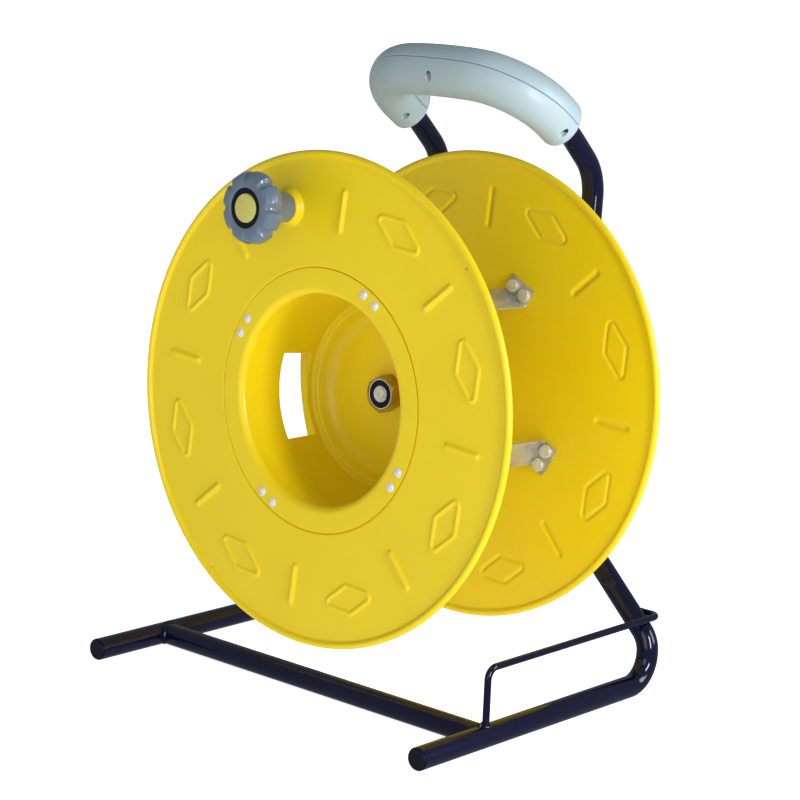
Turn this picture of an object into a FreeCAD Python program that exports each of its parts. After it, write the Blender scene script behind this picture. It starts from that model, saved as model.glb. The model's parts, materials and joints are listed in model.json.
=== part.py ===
import FreeCAD, Part
import math
import os

from FreeCAD import Vector

# Open steel cable reel on a tubular stand.  Millimetres, +Z up, floor at Z = 0, operator side at -Y.
# The reel is drawn in its own frame: x across, u (second axis) along the spindle from the front rim
# plane to the rear, v (third axis) up.  lean() sets it back by lean_deg and puts it on the stand.

# ---- driving dimensions: reel ----
flange_r = 175.0            # outside of the wired rim
rim_gap = 164.6             # front rim plane to rear rim plane
lean_deg = 2.5              # reel and uprights lean back by this angle
rim_y = -76.3               # centre of the front rim plane in the row frame
rim_z = 214.6
sheet = 1.2                 # pressed steel sheet of flanges and hub cup
half_sheet = sheet / 2
bead_r = 2.6                # wired edge

# ---- driving dimensions: hub ----
ring_r = 93.1               # outside of the hub cup's mounting ring
mouth_r = 75.0              # straight part of the cup wall
lip_r = 80.6                # where the flat ring meets the cup's rolled lip
mouth_depth = 22.0
cup_floor = 76.5            # depth of the cup floor's visible face
wall_end_r = 68.3
wall_end = 66.5
ledge_r = 63.5
floor_r = 58.0
hex_flats = 24.0
sleeve_r = 17.0
spindle_r = 6.0
nose_r = 4.0

# ---- driving dimensions: core straps ----
strap_turn = 61.0           # first strap, degrees from +x towards +v
strap_step = 90.0
strap_r = 80.0              # inner face of a strap
strap_t = 1.5
strap_w = 23.0
foot_r = 95.0
rivet_pitch_r = 87.9
rivet_half_turn = 4.1

# ---- driving dimensions: knob ----
knob_turn = 106.1
knob_r = 137.4
knob_face = -45.5           # front of the knob along u
knob_disc_r = 25.5
knob_lobes = 8

# ---- driving dimensions: stand ----
tube_r = 8.0
tube_wall = 1.5
rail_x = 158.4
upright_x = 74.1
upright_u = 200.0
rail_front = -60.4          # from the rim centre, along Y
cross_y = 7.3               # cross tube, from the rim centre, along Y
guide_z = 55.3
rod_r = 2.5
neck_v = 165.6              # where the upright's line meets the inclined neck's
neck_deg = 41.0             # neck above the spindle direction
neck_length = 42.0          # along the neck, to the grip plane
grip_deg = 31.0             # grip plane above the spindle direction

AXIS = Vector(0, 1, 0)
ORIGIN = Vector(0, 0, 0)


# ---- frames ----
def lean(shape):
    """Reel frame to row frame."""
    placed = shape.copy()
    placed.rotate(ORIGIN, Vector(1, 0, 0), -lean_deg)
    placed.translate(Vector(0, rim_y, rim_z))
    return placed


def row_point(x, u, v):
    c = math.cos(math.radians(lean_deg))
    s = math.sin(math.radians(lean_deg))
    return Vector(x, rim_y + u * c + v * s, rim_z - u * s + v * c)


def polar(radius, degrees, u=0.0):
    a = math.radians(degrees)
    return Vector(radius * math.cos(a), u, radius * math.sin(a))


# ---- drawing helpers ----
def rounded_edges(points, radii):
    """Lines with tangent arcs; radii has one value for each inner corner."""
    edges = []
    start = points[0]
    for i in range(1, len(points) - 1):
        corner = points[i]
        back = (points[i - 1] - corner).normalize()
        ahead = (points[i + 1] - corner).normalize()
        radius = radii[i - 1]
        half = back.getAngle(ahead) / 2
        if radius <= 0 or half > math.pi / 2 - 1e-4:
            edges.append(Part.LineSegment(start, corner).toShape())
            start = corner
            continue
        reach = radius / math.tan(half)
        first = corner + back * reach
        last = corner + ahead * reach
        centre = corner + (back + ahead).normalize() * (radius / math.sin(half))
        middle = centre + (corner - centre).normalize() * radius
        if (first - start).Length > 1e-4:
            edges.append(Part.LineSegment(start, first).toShape())
        edges.append(Part.Arc(first, middle, last).toShape())
        start = last
    edges.append(Part.LineSegment(start, points[-1]).toShape())
    return edges


def offset_points(points, distance):
    """Parallel copy of an open (r, u) outline, to the left of its direction."""
    normals = []
    for a, b in zip(points, points[1:]):
        d = (b - a).normalize()
        normals.append(Vector(-d.y, d.x, 0))
    moved = [points[0] + normals[0] * distance]
    for i in range(1, len(points) - 1):
        n = normals[i - 1] + normals[i]
        moved.append(points[i] + n * (2 * distance / n.dot(n)))
    moved.append(points[-1] + normals[-1] * distance)
    return moved


def sheet_outline(points, radii, thickness):
    """Closed wire of a bent sheet whose drawn face is points and whose other face is to the left."""
    far = offset_points(points, thickness)
    far_radii = []
    for i in range(1, len(points) - 1):
        a = points[i] - points[i - 1]
        b = points[i + 1] - points[i]
        left_turn = a.x * b.y - a.y * b.x > 0
        far_radii.append(max(radii[i - 1] + (-thickness if left_turn else thickness), 0.2))
    near_edges = rounded_edges(points, radii)
    far_edges = rounded_edges(far, far_radii)
    caps = [Part.LineSegment(points[0], far[0]).toShape(), Part.LineSegment(points[-1], far[-1]).toShape()]
    return Part.Wire(Part.__sortEdges__(near_edges + far_edges + caps))


def revolved(wire):
    """Turns a closed (r, u) wire about the spindle line."""
    face = Part.Face(wire)
    return face.revolve(ORIGIN, AXIS, 360)


def ring(inner, outer, u0, u1):
    """Plain ring or disc about the spindle line."""
    body = Part.makeCylinder(outer, u1 - u0, Vector(0, u0, 0), AXIS)
    if inner <= 0:
        return body
    return body.cut(Part.makeCylinder(inner, u1 - u0 + 2, Vector(0, u0 - 1, 0), AXIS))


def rod(radius, start, end):
    return Part.makeCylinder(radius, (end - start).Length, start, end - start)


def hexagon(flats, u0, u1, centre=ORIGIN, turn=30.0):
    corner_r = flats / math.sqrt(3)
    corners = [centre + polar(corner_r, turn + 60 * i, u0) for i in range(7)]
    return Part.Face(Part.makePolygon(corners)).extrude(Vector(0, u1 - u0, 0))


def swept(points, radii, radius):
    """Round bar along straight runs joined by tangent arcs."""
    spine = Part.Wire(rounded_edges(points, radii))
    section = Part.Wire(Part.makeCircle(radius, points[0], points[1] - points[0]))
    return spine.makePipeShell([section], True, True)


def domed_head(radius, height, top, direction):
    """Low spherical cap on a flat base, standing along direction from the point top."""
    ball_r = (radius * radius + height * height) / (2 * height)
    ball = Part.makeSphere(ball_r, top + direction * (height - ball_r))
    return ball.common(Part.makeCylinder(radius + 1, height + 1, top, direction))


def group(shapes):
    return Part.makeCompound(shapes)


def around(shape, turns):
    copies = []
    for turn in turns:
        copy = shape.copy()
        copy.rotate(ORIGIN, AXIS, -turn)
        copies.append(copy)
    return copies


strap_turns = [strap_turn + strap_step * i for i in range(4)]
fixing_turns = [turn + side * rivet_half_turn for turn in strap_turns for side in (-1, 1)]


# ---- flanges ----
emboss_count = 8
emboss_step = 360.0 / emboss_count
emboss_height = 1.5
emboss_half = 3.0
bar_length = 33.0
bar_r = 135.0
diamond_r = 141.0
diamond_half_across = 24.0
diamond_half_radial = 11.5
diamond_line_half = 1.9
diamond_line_height = 1.1
front_turn = 84.9
rear_turn = 86.6


def ridge(a, b, half_width, height, shrink):
    """Rounded ridge between two points on the sheet's middle plane, standing towards -u."""
    ball_r = (half_width * half_width + height * height) / (2 * height)
    sink = Vector(0, ball_r - height - half_sheet, 0)
    r = ball_r - shrink
    parts = [rod(r, a + sink, b + sink), Part.makeSphere(r, a + sink), Part.makeSphere(r, b + sink)]
    return parts[0].fuse(parts[1:])


def emboss(turn, skip_knob, shrink):
    shapes = []
    for i in range(emboss_count):
        bar_turn = turn + emboss_step * i
        a = polar(bar_r - bar_length / 2, bar_turn)
        b = polar(bar_r + bar_length / 2, bar_turn)
        shapes.append(ridge(a, b, emboss_half, emboss_height, shrink))
        diamond_turn = bar_turn + emboss_step / 2
        if skip_knob and abs(diamond_turn - knob_turn) < emboss_step / 2:
            continue
        out = polar(1, diamond_turn)
        across = polar(1, diamond_turn + 90)
        centre = out * diamond_r
        tips = [
            centre + out * diamond_half_radial,
            centre + across * diamond_half_across,
            centre - out * diamond_half_radial,
            centre - across * diamond_half_across,
        ]
        sides = [
            ridge(tips[k], tips[(k + 1) % 4], diamond_line_half, diamond_line_height, shrink)
            for k in range(4)
        ]
        shapes.append(sides[0].fuse(sides[1:]))
    return shapes


def embossed(disc, turn, skip_knob):
    """Presses the pattern into a disc that lies on u = 0, standing towards -u."""
    front_half = Part.makeBox(400, 6, 400, Vector(-200, -6, -200))
    raised = [shape.common(front_half) for shape in emboss(turn, skip_knob, 0.0)]
    hollows = emboss(turn, skip_knob, sheet * 0.75)
    return disc.fuse(raised).cut(hollows)


def rim_bead():
    return Part.makeTorus(flange_r - bead_r, bead_r, ORIGIN, AXIS)


lip_inner_r = 80.0
joggle_r = 93.7
joggle_run = 0.9
boss_base_r = 13.0
boss_top_r = 11.2
boss_height = 5.4
pin_hole_r = 3.1


def knob_point(u):
    return polar(knob_r, knob_turn, u)


def front_flange():
    profile = [
        Vector(flange_r - bead_r, -half_sheet, 0),
        Vector(joggle_r + joggle_run, -half_sheet, 0),
        Vector(joggle_r, half_sheet, 0),
        Vector(lip_inner_r, half_sheet, 0),
    ]
    disc = revolved(sheet_outline(profile, [0.2, 0.2], -sheet))
    disc = embossed(disc, front_turn, True).fuse(rim_bead())
    boss_top = -half_sheet - boss_height
    outside = Part.makeCone(boss_base_r, boss_top_r, boss_height, knob_point(-half_sheet), Vector(0, -1, 0))
    inside = Part.makeCone(
        boss_base_r - sheet,
        boss_top_r - sheet,
        boss_height,
        knob_point(half_sheet),
        Vector(0, -1, 0),
    )
    disc = disc.fuse(outside).cut(inside)
    disc = disc.cut(rod(pin_hole_r, knob_point(boss_top - 1), knob_point(2)))
    rivet_hole = rod(rivet_r, polar(rivet_pitch_r, 0, -2), polar(rivet_pitch_r, 0, 4))
    return disc.cut(around(rivet_hole, fixing_turns))


rear_hole_r = sleeve_r
bolt_r = 2.5


def rear_flange():
    disc = ring(rear_hole_r, flange_r - bead_r, -half_sheet, half_sheet)
    disc = embossed(disc, 180 - rear_turn, False).fuse(rim_bead())
    disc.rotate(ORIGIN, Vector(0, 0, 1), 180)
    disc.translate(Vector(0, rim_gap, 0))
    bolt_hole = rod(bolt_r, polar(rivet_pitch_r, 0, rim_gap - 2), polar(rivet_pitch_r, 0, rim_gap + 2))
    return disc.cut(around(bolt_hole, fixing_turns))


# ---- hub ----
window_from = 36.0
window_to = 62.0
window_turns = (163.0, 214.0)


def window_cutter():
    """Ring sector that takes the cable window out of the cup wall."""
    inner = 60.0
    outer = 90.0
    sector = Part.makePolygon([
        Vector(inner, window_from, 0),
        Vector(outer, window_from, 0),
        Vector(outer, window_to, 0),
        Vector(inner, window_to, 0),
        Vector(inner, window_from, 0),
    ])
    cutter = Part.Face(sector).revolve(ORIGIN, AXIS, window_turns[1] - window_turns[0])
    cutter.rotate(ORIGIN, AXIS, -window_turns[1])
    return cutter


def hub_sheet():
    """Flat ring, rolled lip, deep wall and floor, before they are parted for the build."""
    profile = [
        Vector(ring_r, -half_sheet, 0),
        Vector(mouth_r, -half_sheet, 0),
        Vector(mouth_r, mouth_depth, 0),
        Vector(wall_end_r, wall_end, 0),
        Vector(ledge_r, wall_end, 0),
        Vector(floor_r, cup_floor, 0),
        Vector(8.0, cup_floor, 0),
    ]
    cup = revolved(sheet_outline(profile, [5.0, 0.0, 4.0, 2.4, 13.0], -sheet))
    cup = cup.cut(window_cutter())
    return cup.cut(hexagon(hex_flats, cup_floor - 3, cup_floor + 4))


def hub_cup():
    return hub_sheet().common(ring(0, lip_r, -10, cup_floor + 10))


def hub_ring():
    """Flat ring riveted to the front flange."""
    flat = hub_sheet().common(ring(lip_r, ring_r + 5, -10, 10))
    rivet_hole = rod(rivet_r, polar(rivet_pitch_r, 0, -2), polar(rivet_pitch_r, 0, 4))
    return flat.cut(around(rivet_hole, fixing_turns))


hex_front = 64.5
front_seat = (65.0, 72.0)
front_bearing_r = 11.0
rear_seat = (152.0, 160.0)
rear_bearing_r = 14.0
sleeve_end = 163.0
sleeve_bore_r = 9.0


def hub_sleeve():
    """Hexagonal nose that holds the front bearing, and the tube that carries the reel."""
    shoulder = cup_floor + sheet
    nose = hexagon(hex_flats, hex_front, shoulder + 4)
    bevel = Part.makeCone(hex_flats * 0.5 + 0.4, hex_flats * 0.5 + 8.4, 8, Vector(0, hex_front, 0), AXIS)
    bevel = bevel.fuse(ring(0, hex_flats, hex_front + 8, shoulder + 6))
    body = nose.common(bevel).fuse(ring(0, sleeve_r, shoulder, rim_gap + half_sheet))
    body = body.cut(ring(0, sleeve_bore_r, hex_front - 1, rim_gap + 3))
    body = body.cut(ring(0, front_bearing_r, hex_front - 1, front_seat[1]))
    return body.cut(ring(0, rear_bearing_r, rear_seat[0], rim_gap + 3))


def sleeve_weld():
    """Fillet weld between the sleeve's rear end and the rear flange."""
    u = rim_gap + half_sheet
    outline = Part.makePolygon([
        Vector(sleeve_r, u, 0),
        Vector(sleeve_r + 4, u, 0),
        Vector(sleeve_r, u + 2.4, 0),
        Vector(sleeve_r - 2.4, u + 1.2, 0),
        Vector(sleeve_r - 2.4, u, 0),
        Vector(sleeve_r, u, 0),
    ])
    return revolved(outline)


# ---- bearings: each is an inner ring on the spindle, an outer ring, balls and shields ----
ball_gap = 0.35


def bearing(seat, bore, outer, land_in, land_out, ball_r, count, sides):
    u0, u1 = seat
    middle = (u0 + u1) / 2
    pitch = (land_in + land_out) / 2
    inner_track = Part.makeTorus(pitch, ball_r + ball_gap, Vector(0, middle, 0), AXIS)
    outer_track = Part.makeTorus(pitch, ball_r + 0.02, Vector(0, middle, 0), AXIS)
    inner_ring = ring(bore, land_in, u0, u1).cut(inner_track)
    outer_ring = ring(land_out, outer, u0, u1).cut(outer_track)
    ball = Part.makeSphere(ball_r, Vector(pitch, middle, 0))
    balls = group(around(ball, [360.0 / count * i for i in range(count)]))
    shield_t = 0.5
    places = {"front": u0 + 0.2, "rear": u1 - 0.2 - shield_t}
    shields = [ring(land_in + ball_gap, land_out, places[side], places[side] + shield_t) for side in sides]
    return inner_ring, outer_ring, balls, group(shields)


# ---- spindle ----
collar_r = 8.0
plate_front = 187.0
plate_t = 5.0
plate_half_height = 25.0
washer_t = 2.5
nut_t = 10.0
nose_end = 63.4
clip_from = 64.0


def spindle():
    nose = ring(0, nose_r, nose_end, front_seat[1])
    groove = ring(nose_r - 0.5, nose_r + 1, clip_from, clip_from + 0.9)
    shaft = ring(0, spindle_r, front_seat[1], rear_seat[1])
    collar = ring(0, collar_r, rear_seat[1], plate_front)
    tail = ring(0, spindle_r, plate_front, plate_front + plate_t + washer_t + nut_t + 3)
    body = nose.cut(groove).fuse([shaft, collar, tail])
    return body


def spindle_clip():
    """Snap ring in the nose groove, open on one side, with two ears."""
    clip = ring(nose_r - 0.5, nose_r + 1.5, clip_from + 0.05, clip_from + 0.85)
    gap = Part.makeBox(4, 3, 2.2, Vector(2.8, clip_from - 1, -1.1))
    return clip.cut(gap)


def axle_plate():
    half = upright_x + tube_r
    plate = Part.makeBox(
        2 * half, plate_t, 2 * plate_half_height, Vector(-half, plate_front, -plate_half_height)
    )
    corners = [e for e in plate.Edges if abs(e.BoundBox.YLength - plate_t) < 0.01 and e.Length < plate_t + 0.1]
    plate = plate.makeFillet(8.0, corners)
    return plate.cut(ring(0, spindle_r, plate_front - 1, plate_front + plate_t + 1))


def plate_welds():
    """Runs of weld where the uprights lie against the plate."""
    welds = []
    for side in (-1, 1):
        for edge in (-1, 1):
            x = side * upright_x + edge * 3.9
            u = plate_front + plate_t + 0.9
            bead = rod(1.5, Vector(x, u, -20), Vector(x, u, 20))
            upright = rod(tube_r, Vector(side * upright_x, upright_u, -40), Vector(side * upright_x, upright_u, 40))
            keep = Part.makeBox(400, 12, 400, Vector(-200, plate_front + plate_t, -200))
            welds.append(bead.common(keep).cut(upright))
    return group(welds)


# ---- core straps and their fasteners ----
rivet_r = 2.0
foot_front = half_sheet + sheet
foot_rear = rim_gap - half_sheet


def core_strap(turn):
    """Flat steel strap between the flanges, with both ends folded outwards."""
    profile = [
        Vector(foot_r, foot_front, 0),
        Vector(strap_r, foot_front, 0),
        Vector(strap_r, foot_rear, 0),
        Vector(foot_r, foot_rear, 0),
    ]
    outline = sheet_outline(profile, [2.5, 2.5], -strap_t)
    strap = Part.Face(outline).extrude(Vector(0, 0, strap_w))
    strap.translate(Vector(0, 0, -strap_w / 2))
    strap.rotate(ORIGIN, AXIS, -turn)
    for side in (-1, 1):
        hole_turn = turn + side * rivet_half_turn
        front = rod(rivet_r, polar(rivet_pitch_r, hole_turn, 0), polar(rivet_pitch_r, hole_turn, 6))
        rear = rod(bolt_r, polar(rivet_pitch_r, hole_turn, foot_rear - 4), polar(rivet_pitch_r, hole_turn, foot_rear + 1))
        strap = strap.cut([front, rear])
    return strap


def ring_rivets():
    head = domed_head(3.3, 1.5, polar(rivet_pitch_r, 0, -half_sheet), Vector(0, -1, 0))
    tail_u = foot_front + strap_t
    shank = rod(rivet_r, polar(rivet_pitch_r, 0, -half_sheet), polar(rivet_pitch_r, 0, tail_u))
    tail = domed_head(3.0, 1.2, polar(rivet_pitch_r, 0, tail_u), AXIS)
    return group(around(head.fuse([shank, tail]), fixing_turns))


bolt_head_r = 5.0
bolt_nut_t = 4.0


def strap_bolts():
    head_u = foot_rear - strap_t
    head = domed_head(bolt_head_r, 2.8, polar(rivet_pitch_r, 0, head_u), Vector(0, -1, 0))
    shank = rod(bolt_r, polar(rivet_pitch_r, 0, head_u), polar(rivet_pitch_r, 0, rim_gap + half_sheet + bolt_nut_t + 1.5))
    return group(around(head.fuse(shank), fixing_turns))


def strap_nuts():
    u0 = rim_gap + half_sheet
    nut = hexagon(8.0, u0, u0 + bolt_nut_t, polar(rivet_pitch_r, 0), 0.0)
    nut = nut.cut(rod(bolt_r, polar(rivet_pitch_r, 0, u0 - 1), polar(rivet_pitch_r, 0, u0 + bolt_nut_t + 1)))
    return group(around(nut, fixing_turns))


# ---- knob ----
knob_disc_t = 15.3
stem_r = 10.9
stem_end = -half_sheet - boss_height - 0.5
recess_r = 14.0
recess_t = 3.0
cap_r = 10.1
cavity_r = 9.0
cavity_end = -36.0
pin_r = 4.0
bush_r = 6.0
bush_gap = 0.05


def at_knob(shape):
    moved = shape.copy()
    moved.translate(knob_point(0))
    return moved


def crank_knob():
    """Eight-lobed hand knob with a hollow for the pin head and a stem down to the boss."""
    back = knob_face + knob_disc_t
    profile = [
        Vector(0, knob_face, 0),
        Vector(knob_disc_r, knob_face, 0),
        Vector(knob_disc_r, back, 0),
        Vector(stem_r, back + 2.0, 0),
        Vector(stem_r, stem_end, 0),
        Vector(0, stem_end, 0),
    ]
    edges = rounded_edges(profile, [4.6, 4.0, 2.0, 0.6])
    edges.append(Part.LineSegment(profile[-1], profile[0]).toShape())
    body = revolved(Part.Wire(edges))
    groove = Part.makeCylinder(4.2, knob_disc_t + 8, Vector(knob_disc_r + 1.9, knob_face - 3, 0), AXIS)
    grooves = around(groove, [360.0 / knob_lobes * i for i in range(knob_lobes)])
    body = body.cut(grooves)
    body = body.cut(ring(0, recess_r, knob_face - 1, knob_face + recess_t))
    body = body.cut(ring(0, cavity_r, knob_face, cavity_end))
    return at_knob(body.cut(ring(0, bush_r, knob_face, stem_end + 1)))


def knob_ring():
    return at_knob(ring(cap_r + 0.3, recess_r, knob_face + 1.0, knob_face + recess_t))


def knob_cap():
    front = knob_face + 0.2
    profile = [
        Vector(0, front, 0),
        Vector(cap_r, front, 0),
        Vector(cap_r, knob_face + recess_t, 0),
        Vector(cavity_r - 0.05, knob_face + recess_t, 0),
        Vector(cavity_r - 0.05, knob_face + recess_t + 1.4, 0),
        Vector(cavity_r - 1.2, knob_face + recess_t + 1.4, 0),
        Vector(cavity_r - 1.2, knob_face + recess_t - 1.0, 0),
        Vector(0, knob_face + recess_t - 1.0, 0),
    ]
    edges = rounded_edges(profile, [1.0, 0, 0, 0, 0, 0])
    edges.append(Part.LineSegment(profile[-1], profile[0]).toShape())
    return at_knob(revolved(Part.Wire(edges)))


def knob_bush():
    return at_knob(ring(pin_r + bush_gap, bush_r, cavity_end, stem_end + 0.2))


def knob_pin():
    """Shoulder pin: domed head, running shank, threaded end through the boss."""
    boss_top = -half_sheet - boss_height
    head_front = cavity_end - 0.3 - 3.2
    head = ring(0, 7.0, head_front, cavity_end - 0.3)
    slot = Part.makeBox(20, 1.2, 1.4, Vector(-10, head_front - 0.1, -0.7))
    shank = ring(0, pin_r, cavity_end - 0.3, boss_top)
    thread = ring(0, pin_hole_r, boss_top, boss_top + 8.2)
    return at_knob(head.cut(slot).fuse([shank, thread]))


def knob_washer():
    top = -half_sheet - boss_height + sheet
    return at_knob(ring(pin_hole_r, 6.2, top, top + 1.0))


def knob_nut():
    top = -half_sheet - boss_height + sheet + 1.0
    return at_knob(hexagon(10.0, top, top + 5.0).cut(ring(0, pin_hole_r, top - 1, top + 6)))


# ---- stand ----
rear_bend_r = 21.0
knee_v = -167.0
knee_slope = 0.951          # rise over run of the inclined part
knee_r = 22.0
shoulder_bend_r = 30.0
neck_bend_r = 37.0
entry_bend_r = 50.0
grip_bar = 73.5             # from the grip's ends to the tube under the palm, along the grip plane
grip_bend_r = 54.0
rail_z = tube_r


def grip_direction():
    a = math.radians(grip_deg)
    return Vector(0, -math.cos(a), math.sin(a))


def grip_start(x):
    """Where the neck meets the grip plane, in the reel frame."""
    a = math.radians(neck_deg)
    return Vector(x, upright_u - neck_length * math.cos(a), neck_v + neck_length * math.sin(a))


def grip_point(x, along, off=0.0):
    """Point in the grip's own plane, in the row frame; off is towards the lower front side."""
    g = grip_direction()
    n = Vector(0, -g.z, g.y)
    p = grip_start(x) + g * along + n * off
    return row_point(p.x, p.y, p.z)


def rear_corner():
    """Where the rail's line meets the leaning plane of the uprights."""
    c = math.cos(math.radians(lean_deg))
    s = math.sin(math.radians(lean_deg))
    v = (rail_z - rim_z + upright_u * s) / c
    return row_point(rail_x, upright_u, v)


def stand_route():
    shoulder_v = knee_v + (rail_x - upright_x) * knee_slope
    half = [
        Vector(rail_x, rim_y + rail_front, rail_z),
        rear_corner(),
        row_point(rail_x, upright_u, knee_v),
        row_point(upright_x, upright_u, shoulder_v),
        row_point(upright_x, upright_u, neck_v),
        grip_point(upright_x, 0.0),
        grip_point(upright_x, grip_bar),
    ]
    mirrored = [Vector(-p.x, p.y, p.z) for p in reversed(half)]
    radii = [rear_bend_r, knee_r, shoulder_bend_r, neck_bend_r, entry_bend_r, grip_bend_r]
    return half + mirrored, radii + radii[::-1]


def frame_tube():
    """One bent tube: rail, upright, grip bar, upright, rail."""
    points, radii = stand_route()
    return swept(points, radii, tube_r).cut(swept(points, radii, tube_r - tube_wall))


def rail_cylinder(side, radius):
    start = Vector(side * rail_x, rim_y + rail_front, rail_z)
    return rod(radius, start, start + Vector(0, 180, 0))


def cross_tube():
    a = Vector(-rail_x, rim_y + cross_y, rail_z)
    b = Vector(rail_x, rim_y + cross_y, rail_z)
    tube = rod(tube_r, a, b).cut(rod(tube_r - tube_wall, a, b))
    return tube.cut([rail_cylinder(-1, tube_r), rail_cylinder(1, tube_r)])


def tube_welds():
    """Fillet welds where the cross tube meets the rails."""
    welds = []
    for side in (-1, 1):
        centre = Vector(side * (rail_x - tube_r), rim_y + cross_y, rail_z)
        bead = Part.makeTorus(tube_r + 0.3, 1.7, centre, Vector(1, 0, 0))
        bar = rod(tube_r, centre - Vector(20, 0, 0), centre + Vector(20, 0, 0))
        floor = Part.makeBox(60, 60, 7, centre - Vector(30, 30, rail_z + 6))
        welds.append(bead.cut([bar, rail_cylinder(side, tube_r), floor]))
    return group(welds)


def rail_plugs():
    """Push-in end plugs with a rounded head."""
    plugs = []
    for side in (-1, 1):
        mouth = Vector(side * rail_x, rim_y + rail_front, rail_z)
        plug = rod(tube_r - tube_wall, mouth, mouth + Vector(0, 12, 0))
        head = domed_head(tube_r - 0.5, 1.5, mouth, Vector(0, -1, 0))
        plugs.append(plug.fuse(head))
    return group(plugs)


guide_foot_y = 9.0
guide_back_gap = rod_r + tube_r + 0.03


def guide_end():
    """Where the guide wire crosses the inclined tube's rear side."""
    v = (guide_z - rim_z + upright_u * math.sin(math.radians(lean_deg))) / math.cos(math.radians(lean_deg))
    x = rail_x - (v - knee_v) / knee_slope
    p = row_point(x, upright_u, v)
    return Vector(p.x, p.y + guide_back_gap, p.z)


def cross_line(radius):
    return rod(radius, Vector(-rail_x, rim_y + cross_y, rail_z), Vector(rail_x, rim_y + cross_y, rail_z))


def wire_guide():
    end = guide_end()
    points = [
        Vector(rail_x, rim_y + guide_foot_y, rail_z + 4),
        Vector(rail_x, rim_y + guide_foot_y, guide_z),
        Vector(rail_x, end.y, guide_z),
        Vector(end.x - 6, end.y, guide_z),
    ]
    return swept(points, [8.0, 7.0], rod_r).cut([rail_cylinder(1, tube_r), cross_line(tube_r)])


def guide_welds():
    base = Vector(rail_x, rim_y + guide_foot_y, 5)
    top = Vector(rail_x, rim_y + guide_foot_y, 40)
    foot = Part.makeTorus(rod_r + 0.3, 1.0, Vector(base.x, base.y, rail_z + tube_r), Vector(0, 0, 1))
    foot = foot.cut([rail_cylinder(1, tube_r), rod(rod_r, base, top), cross_line(tube_r)])
    end = guide_end()
    leg = rod(
        tube_r,
        row_point(rail_x, upright_u, knee_v),
        row_point(upright_x, upright_u, knee_v + (rail_x - upright_x) * knee_slope),
    )
    bead = Part.makeSphere(3.4, end - Vector(0, rod_r, 0))
    bead = bead.cut([leg, rod(rod_r, end - Vector(20, 0, 0), end + Vector(20, 0, 0))])
    return group([foot.cut(tube_welds()), bead])


# ---- grip ----
grip_top = 72.8             # centre line of the grip over its middle, along the grip plane
grip_crown_r = 295.0        # bow of the part under the palm
grip_turn_r = 48.0          # its corners
grip_leg_x = 71.9
grip_end = 8.7
grip_off = -2.5             # the grip's middle plane, on the upper rear side of the tube's
grip_middle = (18.1, 19.0)  # half width in the plane and half thickness across it (always the larger)
grip_leg = (15.6, 18.6)
end_round = 4.5
grip_hollow_r = 9.6         # around the tube's centre line
grip_collar = 24.5          # the shells are solid around the tube up to here
grip_screw_places = [(-62.0, 24.4), (83.8, 19.9), (3.1, 85.6)]
screw_r = 1.25
screw_head_r = 2.5
screw_low = -11.0           # end of the screw, beyond the grip plane
screw_seat = 6.0            # underside of its head, on the lower front side


def grip_half():
    """Right half of the grip as (x, along, half width, half thickness), from the middle to the end."""
    low = grip_top - grip_crown_r
    corner = low + math.sqrt((grip_crown_r - grip_turn_r) ** 2 - (grip_leg_x - grip_turn_r) ** 2)
    turn = math.atan2(grip_leg_x - grip_turn_r, corner - low)
    line = [(grip_crown_r * math.sin(a), low + grip_crown_r * math.cos(a)) for a in (0, turn / 2)]
    for i in range(7):
        a = turn + (math.pi / 2 - turn) * i / 6
        line.append((grip_leg_x - grip_turn_r + grip_turn_r * math.sin(a), corner + grip_turn_r * math.cos(a)))
    line.append((grip_leg_x, 16.0))
    line.append((grip_leg_x, grip_end))
    run = [0.0]
    for (x0, l0), (x1, l1) in zip(line, line[1:]):
        run.append(run[-1] + math.hypot(x1 - x0, l1 - l0))
    stations = []
    for (x, along), s in zip(line, run):
        blend = (s / run[-1]) ** 2
        w, h = [m + (e - m) * blend for m, e in zip(grip_middle, grip_leg)]
        stations.append((x, along, w, h))
    return stations


def grip_body():
    """Lofted bar through elliptical sections square to the spine."""
    right = grip_half()
    spine = [(-x, along, w, h) for x, along, w, h in reversed(right[1:])] + right
    g = grip_direction()
    normal = Vector(0, -g.z, g.y)
    wires = []
    for i, (x, along, w, h) in enumerate(spine):
        before = spine[max(i - 1, 0)]
        after = spine[min(i + 1, len(spine) - 1)]
        ends = [Vector(q[0], 0, 0) + g * q[1] for q in (before, after)]
        tangent = (ends[1] - ends[0]).normalize()
        side = normal.cross(tangent)
        centre = grip_start(x) + g * along + normal * grip_off
        ellipse = Part.Ellipse(centre + normal * h, centre + side * w, centre)
        wires.append(Part.Wire(ellipse.toShape()))
    body = Part.makeLoft(wires, True, False)
    ends = [face for face in body.Faces if isinstance(face.Surface, Part.Plane)]
    return lean(body.makeFillet(end_round, [edge for face in ends for edge in face.Edges]))


def grip_block(first, last, low, high):
    """Block in the grip plane's directions: first to last along it, low to high across it."""
    corners = [(-200, first), (200, first), (200, last), (-200, last), (-200, first)]
    face = Part.Face(Part.makePolygon([grip_point(x, along, low) for x, along in corners]))
    return face.extrude(grip_point(0, 0, high) - grip_point(0, 0, low))


def screw_hole(x, along, radius, low=-30.0, high=40.0):
    return rod(radius, grip_point(x, along, low), grip_point(x, along, high))


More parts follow.
